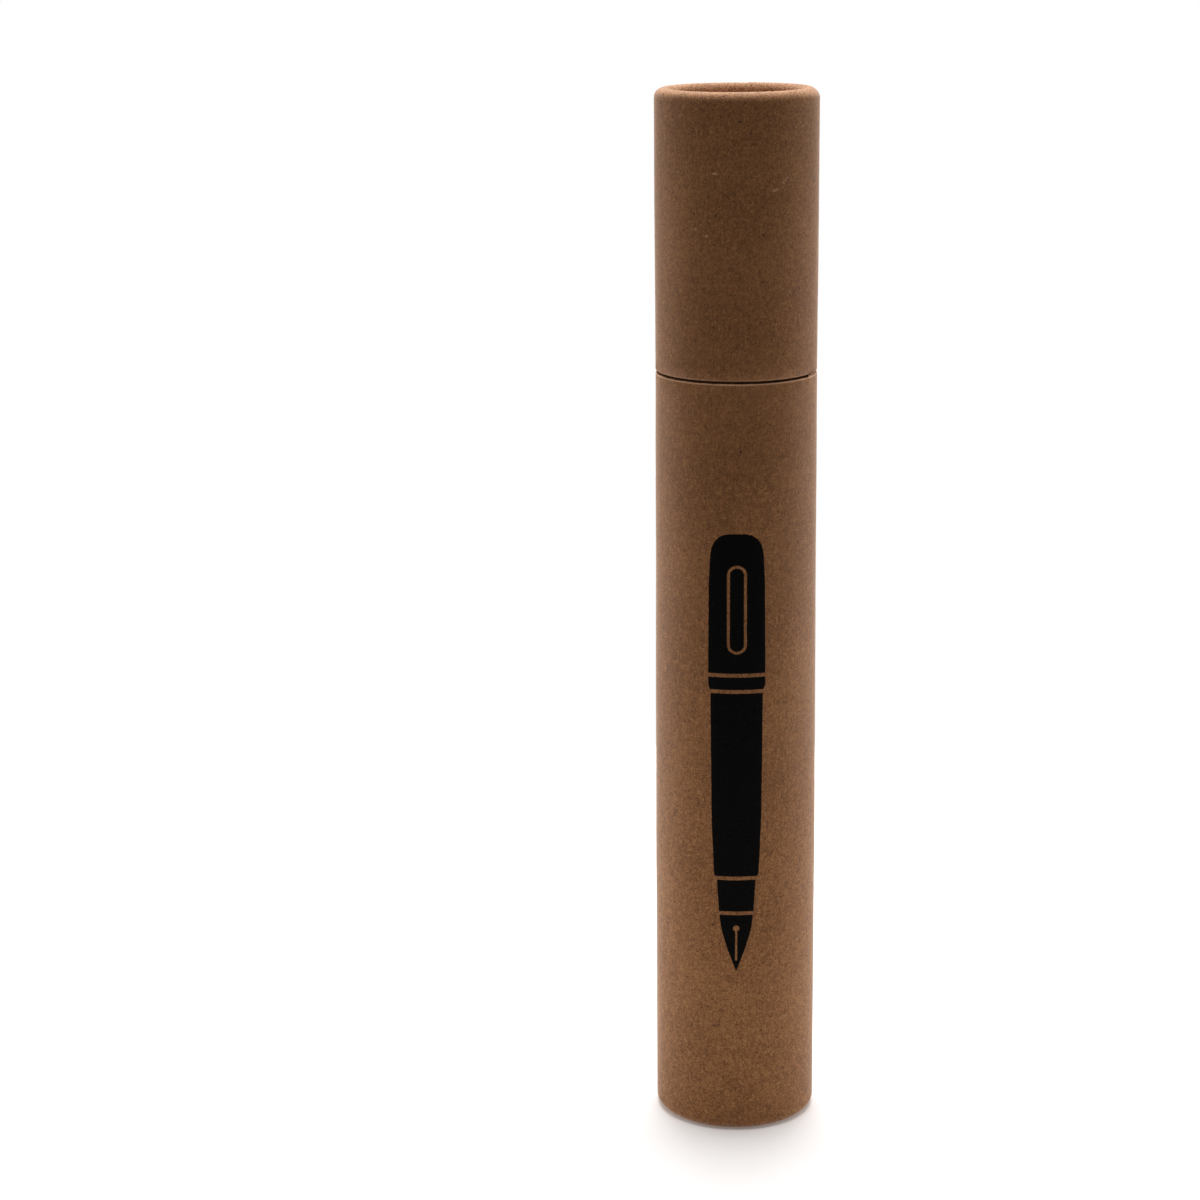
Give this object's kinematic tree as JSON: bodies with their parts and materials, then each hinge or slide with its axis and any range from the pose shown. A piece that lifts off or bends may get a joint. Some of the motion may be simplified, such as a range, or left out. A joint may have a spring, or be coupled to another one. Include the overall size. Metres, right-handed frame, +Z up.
{
  "type": "cardboard pen tube",
  "caption": "Slim round tube of brown kraft board for one pen, with rolled ends and a cap of the same width that pulls off an inner neck.",
  "frame": {"origin": "centre of the foot, on the surface that the tube stands on", "axes": "+Z up along the tube's axis, from the foot towards the cap; the front in the picture faces -Y"},
  "size_m": [0.025, 0.025, 0.1645],
  "materials": {
    "outer_kraft": "matt brown kraft paper with short fibres and flecks",
    "inner_kraft": "matt lighter kraft board"
  },
  "bodies": {
    "base": {"body_tube": "outer_kraft", "body_disc": "inner_kraft", "neck_tube": "inner_kraft"},
    "cap": {"cap_tube": "outer_kraft", "cap_disc": "inner_kraft"}
  },
  "joints": [
    {"name": "cap_slide", "type": "slide", "parent": "base", "child": "cap", "axis": [0, 0, 1], "range_m": [0, 0.045]}
  ]
}
